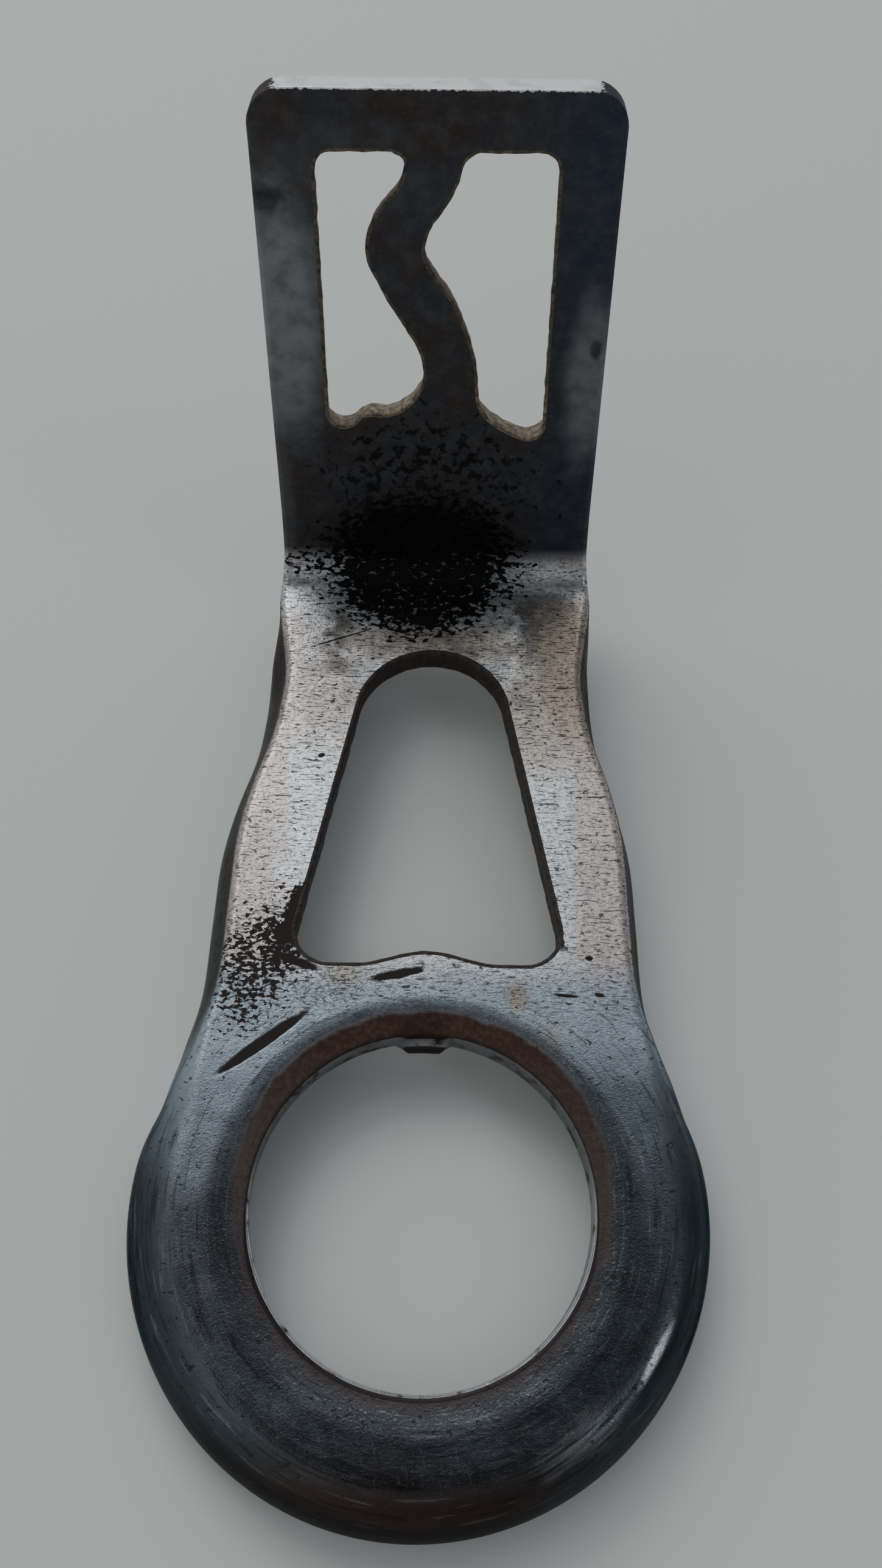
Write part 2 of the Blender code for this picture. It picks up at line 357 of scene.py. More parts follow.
def outer_section(flat):
    """Steps over the outer edge: rolled shoulder, flange, rim and the flange's inner side."""
    sizes = flat.sizes
    thick = sizes.thickness
    plate_lip, flange_lip = 0.3 * MM, 0.5 * MM
    plate_wall, flange_wall = 2.0 * MM, 2.4 * MM
    least_inner = 0.7 * MM
    inner_lean = 0.06 * MM
    hold = 0.12 * MM
    turns = 14

    def section(point):
        y = point.y
        flanged = ease(y, -2.0 * MM, -12.0 * MM)
        on_ring = ease(y, flat.ring_y + 16 * MM, flat.ring_y + 3 * MM)
        rolled = ease(y, 0.5 * MM, -5.0 * MM)
        at_end = ease(y, flat.plate_end - 3.5 * MM, flat.plate_end - 1.5 * MM)
        depth = mix(thick, WEB_TOP, flanged)
        roll = mix(sizes.edge, sizes.end_edge, at_end)
        roll = mix(mix(roll, sizes.neck_roll, rolled), sizes.ring_roll, on_ring)
        flare = sizes.neck_flare * flanged * (1 - on_ring)
        lip = mix(plate_lip, flange_lip, flanged)
        wall = mix(plate_wall, flange_wall, flanged)
        inner = max(least_inner, roll - wall)
        steps = [(flare + roll + hold, 0.0)]
        slope = math.pi / 2 - math.atan2(flare, depth - roll)
        for turn in range(turns + 1):
            angle = slope * turn / turns
            steps.append((flare + roll * (1 - math.sin(angle)), roll * (1 - math.cos(angle))))
        start = steps[-1]
        for share in (0.25, 0.5, 0.75):
            steps.append((mix(start[0], 0.0, share), mix(start[1], depth - lip, share)))
        for angle in quarter(4):
            steps.append((lip * (1 - math.cos(angle)), depth - lip * (1 - math.sin(angle))))
        for angle in quarter(3):
            rise = lip * flanged * (1 - math.cos(angle))
            steps.append((wall - lip * (1 - math.sin(angle)), depth - rise))
        top = thick + inner * flanged
        foot, foot_depth = steps[-1]
        for share in (0.4, 0.8):
            steps.append((foot + (flare + inner_lean / 2) * share, mix(foot_depth, top, share)))
        for angle in quarter(6):
            inset = foot + flare + inner_lean + inner * (1 - math.cos(angle))
            steps.append((inset, top - inner * flanged * math.sin(angle)))
        steps.append((steps[-1][0] + hold, thick))
        return steps

    return section


def burr_at(point, depth, amount):
    """Small uneven offset of a pierced wall."""
    coarse_size, fine_size = 0.9 * MM, 0.32 * MM
    coarse = Vector((point.x, point.y, depth * 0.6)) / coarse_size
    fine = Vector((point.x, point.y, depth)) / fine_size
    return amount * (noise.noise(coarse) + 0.5 * noise.noise(fine))


def pierced_section(flat, edge, burr, draft=0.0):
    """Steps down a pierced wall, from the upper face to the lower one, which opens out by the draft."""
    thick = flat.sizes.thickness
    lower = 0.25 * MM
    hold = 0.15 * MM
    tearing = 1.6

    def section(point):
        jag = burr_at(point, 0.0, burr)
        steps = [(edge + hold, 0.0)]
        for angle in quarter(4):
            steps.append((edge * (1 - math.sin(angle)) + jag, edge * (1 - math.cos(angle))))
        for share in (0.2, 0.4, 0.6, 0.8, 1.0):
            depth = mix(edge, thick - lower, share)
            torn = burr_at(point, depth, burr * tearing) + draft * ease(share, 0.1, 0.9)
            steps.append((mix(jag, torn, share), depth))
        end = steps[-1][0]
        for angle in quarter(3)[1:]:
            steps.append((end + lower * (1 - math.cos(angle)), thick - lower * (1 - math.sin(angle))))
        steps.append((lower + hold + 2 * burr + draft, thick))
        return steps

    return section


def hole_section(flat):
    """Steps over the hole's dished edge, with the tooth and the dent that pressed it out."""
    sizes = flat.sizes
    thick, dip, edge = sizes.thickness, sizes.hole_dish, sizes.hole_edge
    centre = Vector((0, flat.ring_y))
    dish_reach = 3.2 * MM
    outside = 3.4 * MM
    dent_edge = 0.25 * MM
    dent_depth = 0.5 * MM
    shelf = 1.55 * MM
    tooth_foot = 2.2 * MM
    lower_inset = 0.3 * MM
    lower_edge = 0.25 * MM

    def section(point):
        from_top = (point - centre).angle(Vector((0, 1))) * sizes.hole_radius
        tooth = sizes.tooth * (1 - ease(from_top, 1.2 * MM, 2.3 * MM))
        dent = 1 - ease(from_top, 0.9 * MM, 2.4 * MM)
        steps = [(outside, 0.0), (dish_reach, 0.0)]
        for share in (0.2, 0.4, 0.6, 0.8):
            sunk = dip * ease(share, 0, 1) + dent_edge * dent * ease(share, 0.5, 1)
            steps.append((mix(dish_reach, edge, share), sunk))
        low = dip + dent_depth * dent
        for angle in quarter(5):
            inset = edge * (1 - math.sin(angle)) + dent_edge * dent * math.sin(angle)
            steps.append((inset, low + edge * (1 - math.cos(angle))))
        start = steps[-1]
        steps.append((mix(start[0], 0.0, 0.7), mix(start[1], shelf, 0.8)))
        for reach, depth in (
            (0.5, shelf),
            (0.92, shelf + 0.06 * MM),
            (1.0, shelf + 0.25 * MM),
            (1.0, tooth_foot),
        ):
            steps.append((-tooth * reach, depth))
        for angle in quarter(3)[1:]:
            inset = mix(-tooth, lower_inset, 1 - math.cos(angle))
            steps.append((inset, thick + dip / 2 - lower_edge * (1 - math.sin(angle))))
        steps.append((dish_reach / 2, thick + dip / 4))
        steps.append((dish_reach, thick))
        steps.append((outside, thick))
        return steps

    return section


def flat_sheet(flat):
    """The whole sheet as a closed mesh, before it is bent."""
    plated, cut = 0, 1
    burr = flat.sizes.burr
    taper = pierced_section(flat, 0.22 * MM, burr * 0.6)
    window = pierced_section(flat, 0.12 * MM, burr, 0.3 * MM)
    shape = bmesh.new()
    upper, lower = [], []

    def band(outline, way, section, material):
        sides = [side * way for side in rightward(outline)]
        first, last = wrap(shape, rows_from(outline, sides, section), material)
        upper.extend(first)
        lower.extend(last)

    band(outer_outline(flat), 1, outer_section(flat), plated)
    band(hole_outline(flat), -1, hole_section(flat), plated)
    band(tapered_outline(), -1, taper, cut)
    for outline in window_outlines(flat):
        band(outline, -1, window, cut)
    for edges in (upper, lower):
        bmesh.ops.triangle_fill(shape, use_beauty=True, use_dissolve=False, edges=edges)
    return shape


def cut_across(shape, places):
    """Lines across the sheet, so that it can bend there."""
    for y in places:
        whole = shape.verts[:] + shape.edges[:] + shape.faces[:]
        bmesh.ops.bisect_plane(
            shape, geom=whole, dist=SAME_PLACE, plane_co=(0, y, 0), plane_no=(0, 1, 0)
        )


def pressed_sheet(flat):
    """The sheet bent to shape, with each point's place on the flat sheet kept for the finish."""
    shape = flat_sheet(flat)
    steps = 18
    cut_across(shape, [flat.bend_length * step / steps - flat.tangent for step in range(steps + 1)])
    bmesh.ops.remove_doubles(shape, verts=shape.verts, dist=SAME_PLACE)
    bmesh.ops.recalc_face_normals(shape, faces=shape.faces)
    layer = shape.verts.layers.float_vector.new("sheet_place")
    for vert in shape.verts:
        vert[layer] = vert.co
        down_flange = ease(-vert.co.z, 0.8 * MM, 5 * MM)
        past_bend = ease(vert.co.y, -2 * MM, -8 * MM)
        vert.co.x -= flat.sizes.lean * down_flange * past_bend
        vert.co = flat.fold(vert.co)
    for face in shape.faces:
        face.smooth = True
    mesh = bpy.data.meshes.new("worn_sheet")
    shape.to_mesh(mesh)
    shape.free()
    return mesh


# ---------------------------------------------------------------- shader nodes


class Tree:
    """Short ways to add and join nodes in one node tree."""

    def __init__(self, tree):
        self.tree = tree

    def add(self, kind, **settings):
        node = self.tree.nodes.new(kind)
        for name, value in settings.items():
            setattr(node, name, value)
        return node

    def feed(self, socket, value):
        """Joins a socket to another, or sets its value."""
        if isinstance(value, bpy.types.NodeSocket):
            self.tree.links.new(value, socket)
        else:
            socket.default_value = value

    def maths(self, operation, *values, clamp=False):
        node = self.add("ShaderNodeMath", operation=operation, use_clamp=clamp)
        for socket, value in zip(node.inputs, values):
            self.feed(socket, value)
        return node.outputs[0]

    def vector(self, operation, *values):
        node = self.add("ShaderNodeVectorMath", operation=operation)
        for socket, value in zip(node.inputs, values):
            self.feed(socket, value)
        return node.outputs["Value" if operation in ("LENGTH", "DOT_PRODUCT") else "Vector"]

    def rise(self, value, low, high, start=0.0, end=1.0):
        """A smooth step of a value, from start at low to end at high. High may be the smaller one."""
        node = self.add("ShaderNodeMapRange", interpolation_type="SMOOTHSTEP")
        for socket, number in zip(node.inputs, (value, low, high, start, end)):
            self.feed(socket, number)
        return node.outputs[0]

    def blend(self, share, a, b):
        """A colour between two."""
        node = self.add("ShaderNodeMix", data_type="RGBA")
        self.feed(node.inputs["Factor"], share)
        self.feed(node.inputs["A"], a)
        self.feed(node.inputs["B"], b)
        return node.outputs["Result"]

    def between(self, share, a, b):
        """A number between two."""
        node = self.add("ShaderNodeMix", data_type="FLOAT")
        self.feed(node.inputs["Factor"], share)
        self.feed(node.inputs["A"], a)
        self.feed(node.inputs["B"], b)
        return node.outputs["Result"]

    def layers(self, found, *over):
        """A colour with others laid over it in turn, each given as its share and its colour."""
        for share, value in over:
            found = self.blend(share, found, value)
        return found

    def most(self, *values):
        found = values[0]
        for value in values[1:]:
            found = self.maths("MAXIMUM", found, value)
        return found

    def product(self, *values):
        found = values[0]
        for value in values[1:]:
            found = self.maths("MULTIPLY", found, value)
        return found

    def inverse(self, value):
        return self.maths("SUBTRACT", 1.0, value)

    def swing(self, value, reach):
        """A value between 0 and 1, made to swing about 0 by half the reach each way."""
        return self.product(self.maths("SUBTRACT", value, 0.5), reach)

    def cloud(self, place, scale, detail=3.0, roughness=0.55, lumpy=0.0):
        node = self.add("ShaderNodeTexNoise")
        self.feed(node.inputs["Vector"], place)
        self.feed(node.inputs["Scale"], scale)
        self.feed(node.inputs["Detail"], detail)
        self.feed(node.inputs["Roughness"], roughness)
        self.feed(node.inputs["Distortion"], lumpy)
        return node.outputs["Fac"]

    def use(self, group, **values):
        """A shared group with its own values, named by their sockets."""
        node = self.add("ShaderNodeGroup", node_tree=group)
        for name, value in values.items():
            self.feed(node.inputs[name.replace("_", " ").capitalize()], value)
        return node.outputs[0]


def new_group(name, **inputs):
    """An empty shared group, which puts out one mask. Its inputs are given with their defaults."""
    group = bpy.data.node_groups.new(name, "ShaderNodeTree")
    for label, value in inputs.items():
        kind = "NodeSocketVector" if isinstance(value, tuple) else "NodeSocketFloat"
        socket = group.interface.new_socket(name=label, in_out="INPUT", socket_type=kind)
        socket.default_value = value
    group.interface.new_socket(name="Mask", in_out="OUTPUT", socket_type="NodeSocketFloat")
    tree = Tree(group)
    return group, tree, tree.add("NodeGroupInput").outputs, tree.add("NodeGroupOutput").inputs[0]


def patch_group():
    """A ragged oval patch round a centre."""
    group, tree, given, out = new_group(
        "ragged_patch",
        Place=(0, 0, 0),
        Centre=(0, 0, 0),
        Reach=(0.01, 0.01, 0.01),
        Feather=0.2,
        Ragged=0.5,
        Grain=800.0,
    )
    from_centre = tree.vector("SUBTRACT", given["Place"], given["Centre"])
    offset = tree.vector("DIVIDE", from_centre, given["Reach"])
    lumps = tree.swing(tree.cloud(given["Place"], given["Grain"], 5.0, 0.65), given["Ragged"])
    distance = tree.maths("ADD", tree.vector("LENGTH", offset), lumps)
    inner = tree.maths("SUBTRACT", 1.0, given["Feather"])
    outer = tree.maths("ADD", 1.0, given["Feather"])
    tree.feed(out, tree.rise(distance, outer, inner))
    return group


def flecks_group():
    """Scattered flecks that grow together as the cover rises."""
    group, tree, given, out = new_group(
        "flecks", Place=(0, 0, 0), Stretch=(1, 1, 1), Grain=2500.0, Cover=0.2, Soft=0.02
    )
    place = tree.vector("MULTIPLY", given["Place"], given["Stretch"])
    lumps = tree.cloud(place, given["Grain"], 3.0, 0.6, 0.3)
    limit = tree.between(given["Cover"], 0.74, 0.30)
    low = tree.maths("SUBTRACT", limit, given["Soft"])
    high = tree.maths("ADD", limit, given["Soft"])
    tree.feed(out, tree.rise(lumps, low, high))
    return group


def streaks_group():
    """Fine scratches that run one way, turned by an angle in the sheet."""
    group, tree, given, out = new_group(
        "fine_scratches", Place=(0, 0, 0), Angle=0.0, Grain=3000.0, Length=10.0, Cover=0.2
    )
    turned = tree.add("ShaderNodeVectorRotate", rotation_type="Z_AXIS")
    tree.feed(turned.inputs["Vector"], given["Place"])
    tree.feed(turned.inputs["Angle"], given["Angle"])
    shorten = tree.add("ShaderNodeCombineXYZ")
    tree.feed(shorten.inputs["X"], tree.maths("DIVIDE", 1.0, given["Length"]))
    shorten.inputs["Y"].default_value = 1.0
    shorten.inputs["Z"].default_value = 1.0
    place = tree.vector("MULTIPLY", turned.outputs[0], shorten.outputs[0])
    lines = tree.cloud(place, given["Grain"], 1.5, 0.5)
    limit = tree.between(given["Cover"], 0.78, 0.48)
    tree.feed(out, tree.rise(lines, limit, tree.maths("ADD", limit, 0.05)))
    return group


def new_material(name):
    material = bpy.data.materials.new(name)
    material.use_nodes = True
    return material, Tree(material.node_tree), material.node_tree.nodes["Principled BSDF"]


def relief(tree, height, depth, normal=None):
    """The normals of a height, its 1 as deep as given, on top of another relief's normals if given."""
    node = tree.add("ShaderNodeBump")
    node.inputs["Strength"].default_value = 1.0
    node.inputs["Distance"].default_value = depth
    tree.feed(node.inputs["Height"], height)
    if normal is not None:
        tree.feed(node.inputs["Normal"], normal)
    return node.outputs["Normal"]


def sheet_place(tree):
    """Where a point of the surface lies on the flat sheet."""
    node = tree.add("ShaderNodeAttribute", attribute_name="sheet_place", attribute_type="GEOMETRY")
    return node.outputs["Vector"]


def at(x, y, z=0.0):
    """A place on the flat sheet, given in millimetres."""
    return (x * MM, y * MM, z * MM)


class Finish(bpy.types.PropertyGroup):
    """Colours of the plating, the steel under it and its tarnish."""

    plating: colour("Plating", "Bright plating", 0.77, 0.79, 0.81)
    sheen: colour("Edge sheen", "Tint of the plating's grazing reflections", 0.35, 0.35, 0.36)
    strip: colour("Middle strip", "Cold white plating along the neck's middle", 0.92, 0.96, 1.0)
    # Painted highlight: brighter, bluer plating either side of the bend
    painted_bend_highlights: colour("By the bend", "Bright plating beside the bend", 0.88, 0.93, 0.98)
    pink: colour("Pink tint", "Plating along the rolled edges", 0.70, 0.60, 0.57)
    beige: colour("Beige tint", "Plating browned by wear beside the bend", 0.50, 0.405, 0.315)
    haze: colour("Haze", "Dull grey patches of the plating", 0.225, 0.215, 0.20)
    cool: colour("Cool tint", "Plating round the ring's neck side", 0.44, 0.52, 0.60)
    ring_film: colour("Ring film", "Dark film on the ring", 0.16, 0.175, 0.20)
    edge_film: colour("Edge film", "Darkest film, on the ring's rolled edge", 0.05, 0.066, 0.076)
    inner_film: colour("Inner film", "Dark film round the front of the hole", 0.030, 0.032, 0.036)
    front_film: colour("Front film", "Brown film on the front of the ring", 0.075, 0.045, 0.034)
    # Partly patina, partly painted shade: the black foot of the ring's front, by the table
    lip: colour("Lip", "Black foot of the ring's front", 0.004, 0.004, 0.004)
    ring_line: colour("Ring lines", "Dark lines rubbed round the ring", 0.02, 0.02, 0.022)
    roll: colour("Roll", "Purple-brown line along the neck's roll", 0.036, 0.028, 0.031)
    flange: colour("Flange", "Dull side of the neck, below its roll", 0.14, 0.15, 0.145)
    flange_dark: colour("Flange blotches", "Darker blotches of that side", 0.055, 0.058, 0.056)
    plate_film: colour("Plate film", "Dark film on the end plate", 0.055, 0.056, 0.062)
    plate_brown: colour("Brown plate film", "Browner clouds of that film", 0.060, 0.050, 0.045)
    plate_blue: colour("Blue plate film", "Film on the plate's right side", 0.040, 0.052, 0.080)
    rubbed: colour("Rubbed film", "Grey metal where the plate's film is rubbed", 0.26, 0.265, 0.27)
    # Partly a painted highlight: the plate's upturned end face made pure white
    end: colour("End face", "Bright cut end of the plate", 1.0, 1.0, 1.0)
    end_smudge: colour("End smudges", "Grey smudges on the plate's end", 0.60, 0.59, 0.62)
    soot: colour("Black tarnish", "Tarnish in the bend", 0.010, 0.010, 0.011)
    steel: colour("Bare steel", "Brown-black steel where the plating has flaked", 0.034, 0.028, 0.026)
    rust: colour("Rust", "Brown band round the hole", 0.060, 0.034, 0.026)
    rust_light: colour("Light rust", "Lighter grains of the band", 0.090, 0.056, 0.042)
    rust_dark: colour("Dark rust", "The band's front half", 0.020, 0.019, 0.020)
    rust_halo: colour("Rust halo", "Faint stain round the band", 0.16, 0.13, 0.12)
    stain: colour("Stain", "Yellow-brown stains", 0.40, 0.33, 0.22)
    burr: colour("Burr", "Rough tan metal on the window's walls", 0.34, 0.27, 0.18)
    cut_brown: colour("Brown cut", "Brown metal on the tapered opening's wall", 0.085, 0.065, 0.050)


class Groups:
    """The shared shader effects."""

    def __init__(self):
        self.patch = patch_group()
        self.flecks = flecks_group()
        self.streaks = streaks_group()


class Plating:
    """The plated faces: bright on the neck, dark on the plate and ring, browned round the hole."""

    def __init__(self, flat, finish, groups):
        self.finish, self.groups = finish, groups
        self.ring_y = flat.ring_y
        self.material, self.tree, self.shader = new_material("worn_plating")
        tree = self.tree
        self.place = sheet_place(tree)
        parts = tree.add("ShaderNodeSeparateXYZ")
        tree.feed(parts.inputs[0], self.place)
        self.across, self.along, height = parts.outputs
        self.depth = tree.maths("MULTIPLY", height, -1.0)
        self.aside = tree.maths("ABSOLUTE", self.across)
        self.from_hole = self.distance_from((0, self.ring_y))
        self.large = tree.cloud(self.place, 160.0, 3.0)
        self.middle = tree.cloud(self.place, 620.0, 3.0)
        self.small = tree.cloud(self.place, 2400.0, 3.0, 0.65)
        self.on_plate = tree.rise(self.along, 0.4 * MM, 2.6 * MM)
        self.on_top = tree.rise(self.depth, 1.9 * MM, 1.1 * MM)
        past_ring = tree.rise(self.along, self.ring_y + 10 * MM, self.ring_y + 18 * MM)
        self.on_neck = tree.product(past_ring, tree.inverse(self.on_plate))
        self.rolled = tree.rise(self.from_hole, 17.6 * MM, 20.6 * MM)
        # The lip: the ring's front foot by the table, black from patina and painted contact shade
        front = tree.rise(self.along, self.ring_y - 9 * MM, self.ring_y - 17 * MM)
        self.lip = tree.product(tree.rise(self.from_hole, 20.6 * MM, 22.0 * MM), front)
        uneven = tree.maths("ADD", self.along, tree.swing(self.small, 0.5 * MM))
        at_end = tree.rise(uneven, flat.plate_end - 0.14 * MM, flat.plate_end - 0.08 * MM)
        self.film = tree.product(self.on_plate, tree.inverse(at_end))
        self.end_face = tree.product(at_end, self.on_plate)

    def distance_from(self, point):
        """How far a place is from a point, across the flat sheet."""
        level = self.tree.vector("MULTIPLY", self.place, (1, 1, 0))
        return self.tree.vector("LENGTH", self.tree.vector("SUBTRACT", level, (*point, 0)))

    def spot(self, centre, reach, feather=0.5, ragged=0.6, grain=500.0, turn=0.0):
        """A ragged oval on the sheet, in millimetres, turned anticlockwise by an angle."""
        place = self.place
        if turn:
            node = self.tree.add("ShaderNodeVectorRotate", rotation_type="Z_AXIS")
            self.tree.feed(node.inputs["Vector"], place)
            node.inputs["Center"].default_value = at(*centre)
            node.inputs["Angle"].default_value = -turn
            place = node.outputs[0]
        return self.tree.use(
            self.groups.patch,
            place=place,
            centre=at(*centre),
            reach=at(*reach, 60),
            feather=feather,
            ragged=ragged,
            grain=grain,
        )

    def spots(self, *marks):
        """The strongest of some spots, each given as its centre, reach, strength and further look."""
        found = []
        for centre, reach, strength, *look in marks:
            found.append(self.tree.product(self.spot(centre, reach, *look), strength))
        return self.tree.most(*found)

    def speckle(self, cover, grain, stretch, soft):
        return self.tree.use(
            self.groups.flecks, place=self.place, stretch=stretch, grain=grain, cover=cover, soft=soft
        )

    def scattered(self, cover, grain, stretch, soft):
        """Flecks as dense as the cover, fading out where it does."""
        found = self.speckle(cover, grain, stretch, soft)
        return self.tree.product(found, self.tree.rise(cover, 0.03, 0.2))

    def scratches(self, angle, grain, length, cover):
        return self.tree.use(
            self.groups.streaks, place=self.place, angle=angle, grain=grain, length=length, cover=cover
        )

    def wander(self, value, low, high, reach, scale=1500.0):
        """A step of a value with an uneven edge."""
        tree = self.tree
        lumps = tree.swing(tree.cloud(self.place, scale, 5.0, 0.65), reach)
        return tree.rise(tree.maths("ADD", value, lumps), low, high)

    def tints(self):
        """Bright plating with its warm, cool and dull places, and painted highlights beside the bend."""
        tree, finish = self.tree, self.finish
        outer = tree.product(self.wander(self.aside, 10.2 * MM, 13.6 * MM, 5 * MM, 500.0), self.on_neck)
        inner = self.wander(self.aside, 13.2 * MM, 10.8 * MM, 4 * MM, 500.0)
        strip = tree.product(tree.rise(self.along, -14 * MM, -23 * MM), inner)
        browned = self.spots(
            ((11.8, -10.5), (3.4, 9.0), 1.0),
            ((9.4, -16.0), (3.2, 5.6), 0.75),
            ((-9.5, -13.5), (3.0, 5.5), 0.45),
            ((0, -7.8), (8.0, 1.9), 0.8),
        )
        dull = self.spots(
            ((8.4, -6.8), (2.0, 4.6), 1.0, 0.4),
            ((-8.7, -7.6), (1.9, 4.2), 1.0, 0.4),
            ((0.3, -7.9), (8.5, 2.0), 0.75),
            ((-6.9, -12.5), (1.8, 3.2), 0.5),
            ((7.2, -12.0), (2.0, 4.5), 0.7),
            ((0, -9.5), (14.5, 7.5), 0.5, 0.6),
        )
        # Painted highlights: brighter, bluer plating either side of the bend
        painted_bend_highlights = self.spots(((-12.0, -1.8), (3.2, 3.0), 0.75), ((11.6, -0.9), (3.4, 1.7), 0.75))
        near_ring = tree.rise(self.along, -37.5 * MM, -41.5 * MM)
        shade = tree.product(tree.rise(self.small, 0.42, 0.68), tree.between(self.on_neck, 0.2, 0.55))
        stained = self.spots(
            ((7.3, -41.4), (0.8, 1.3), 0.7, 0.6, 1.2, 1500.0),
            ((9.9, -45.2), (0.9, 1.4), 0.4, 0.6, 1.2, 1500.0),
            ((-6.6, -39.6), (1.6, 1.0), 0.6, 0.6, 1.2, 1500.0),
        )
        return tree.layers(
            finish.plating,
            (tree.product(outer, 0.85), finish.pink),
            (tree.product(strip, 0.7), finish.strip),
            (browned, finish.beige),
            (tree.product(dull, tree.rise(self.middle, 0.3, 0.6)), finish.haze),
            # Painted highlights beside the bend
            (painted_bend_highlights, finish.painted_bend_highlights),
            (near_ring, finish.cool),
            (shade, finish.haze),
            (stained, finish.stain),
        )

    def ring_films(self, found):
        """Dark films over the ring, darkest where it rolls down at the front; the black front foot is
        partly painted shade, and the upper right is darkened by painted shade.
        """
        tree, finish, ring_y = self.tree, self.finish, self.ring_y
        down_ring = tree.rise(self.along, ring_y + 15 * MM, ring_y - 4 * MM)
        cloudy = tree.rise(self.large, 0.3, 0.6, 0.72, 1.0)
        low_side = tree.rise(self.along, ring_y + 12 * MM, ring_y - 2 * MM)
        front = tree.rise(self.along, ring_y - 15 * MM, ring_y - 20.5 * MM)
        round_hole = tree.rise(self.from_hole, 17.2 * MM, 15.2 * MM)
        # Painted shade: the ring's upper right side, darkened with the edge film
        right = tree.product(
            tree.rise(self.across, 5 * MM, 14 * MM), tree.rise(self.along, -42 * MM, -50 * MM)
        )
        return tree.layers(
            found,
            (tree.product(down_ring, cloudy), finish.ring_film),
            (tree.product(self.rolled, low_side, 0.9), finish.edge_film),
            (tree.product(front, 0.8), finish.front_film),
            # Black front foot: partly patina, partly painted contact shade
            (tree.product(self.lip, 0.95), finish.lip),
            (tree.product(round_hole, low_side, 0.75), finish.inner_film),
            # Painted shade on the ring's upper right
            (tree.product(right, 0.5), finish.edge_film),
        )

    def ring_lines(self, found):
        """Fine lines rubbed round the ring, and a painted glint and a painted reflection on its roll."""
        tree, finish = self.tree, self.finish
        on_ring = tree.rise(self.along, -40 * MM, -45 * MM)
        rounds = tree.add("ShaderNodeCombineXYZ")
        tree.feed(rounds.inputs["X"], self.from_hole)
        tree.feed(rounds.inputs["Y"], tree.maths("MULTIPLY", self.along, 0.06))
        tree.feed(rounds.inputs["Z"], tree.maths("MULTIPLY", self.across, 0.06))
        lines = tree.cloud(rounds.outputs[0], 3600.0, 2.0)
        bright = tree.product(tree.rise(lines, 0.60, 0.68), on_ring, tree.inverse(self.lip), 0.10)
        dark = tree.product(tree.rise(lines, 0.42, 0.34), on_ring, 0.45)
        sparkle = tree.product(
            self.speckle(0.27, 5600.0, (0.7, 1.2, 1), 0.05), on_ring, tree.inverse(self.rolled), 0.14
        )
        # Painted glint: a thin spot of bright plating along the roll where its highlight shows
        painted_glint = self.spots(((17.0, -67.9), (2.1, 0.26), 0.7, 0.6, 0.6, 900.0, 1.03))
        # Painted reflection: bright plating over the dark film, shaped like a pale reflection on the roll
        painted_reflection_patch = self.spots(((11.6, -73.2), (3.2, 1.1), 0.3, 0.7, 1.2, 900.0, 0.62))
        # The painted glint and the painted reflection, the latter broken up by the lines
        rubbed = tree.most(painted_glint, tree.product(painted_reflection_patch, tree.rise(lines, 0.35, 0.6)))
        return tree.layers(
            found,
            (bright, finish.plating),
            (dark, finish.ring_line),
            (sparkle, finish.plating),
            # Painted glint and painted reflection, in the plating colour
            (rubbed, finish.plating),
        )

    def flange_films(self, found):
        """A dark line along the neck's roll, and the dull flange below it."""
        tree, finish = self.tree, self.finish
        below = tree.product(self.wander(self.depth, 0.25 * MM, 0.75 * MM, 0.4 * MM), self.on_neck)
        lower = tree.product(self.wander(self.depth, 1.7 * MM, 3.0 * MM, 0.9 * MM), self.on_neck)
        outside = tree.rise(self.aside, 13.9 * MM, 15.2 * MM)
        side = tree.blend(tree.rise(self.small, 0.36, 0.66), finish.flange, finish.flange_dark)
        return tree.layers(
            found, (tree.product(below, 0.9), finish.roll), (tree.product(lower, outside), side)
        )

    def plate_film(self):
        """The end plate's dark film: browner in clouds, blue on the right, rubbed grey at its sides."""
        tree, finish = self.tree, self.finish
        rubbed = self.spots(
            ((-12.4, 25.0), (3.1, 10.0), 1.0, 0.45, 0.5, 260.0),
            ((12.8, 19.5), (1.8, 7.0), 0.75, 0.5, 0.6, 260.0),
            ((-13.6, 9), (0.9, 8), 0.2, 0.6, 0.8),
            ((-8.5, 36.5), (6.0, 3.2), 0.12, 0.6, 0.8),
        )
        patchy = tree.rise(self.middle, 0.25, 0.65, 0.55, 1.0)
        dark_spots = self.spots(
            ((13.1, 22.6), (0.5, 0.8), 0.65, 0.4, 1.2, 1500.0),
            ((-13.0, 34.6), (1.7, 1.0), 0.65, 0.5, 2.0, 900.0),
        )
        fine_wear = tree.rise(self.small, 0.50, 0.72, 0.0, 0.08)
        wide_wear = tree.rise(self.middle, 0.4, 0.7, 0.0, 0.10)
        return tree.layers(
            finish.plate_film,
            (tree.rise(self.large, 0.4, 0.65), finish.plate_brown),
            (tree.rise(self.across, 7 * MM, 12 * MM, 0.0, 0.8), finish.plate_blue),
            (tree.product(rubbed, patchy, self.on_plate), finish.rubbed),
            (dark_spots, finish.soot),
            (tree.maths("ADD", fine_wear, wide_wear), finish.rubbed),
        )

    def end_smudges_and_highlight(self):
        """The plate's end: its own bright metal made pure white as a painted highlight, with grey smudges.
        """
        smudged = self.tree.rise(self.middle, 0.48, 0.66, 0.0, 0.55)
        return self.tree.blend(smudged, self.finish.end, self.finish.end_smudge)

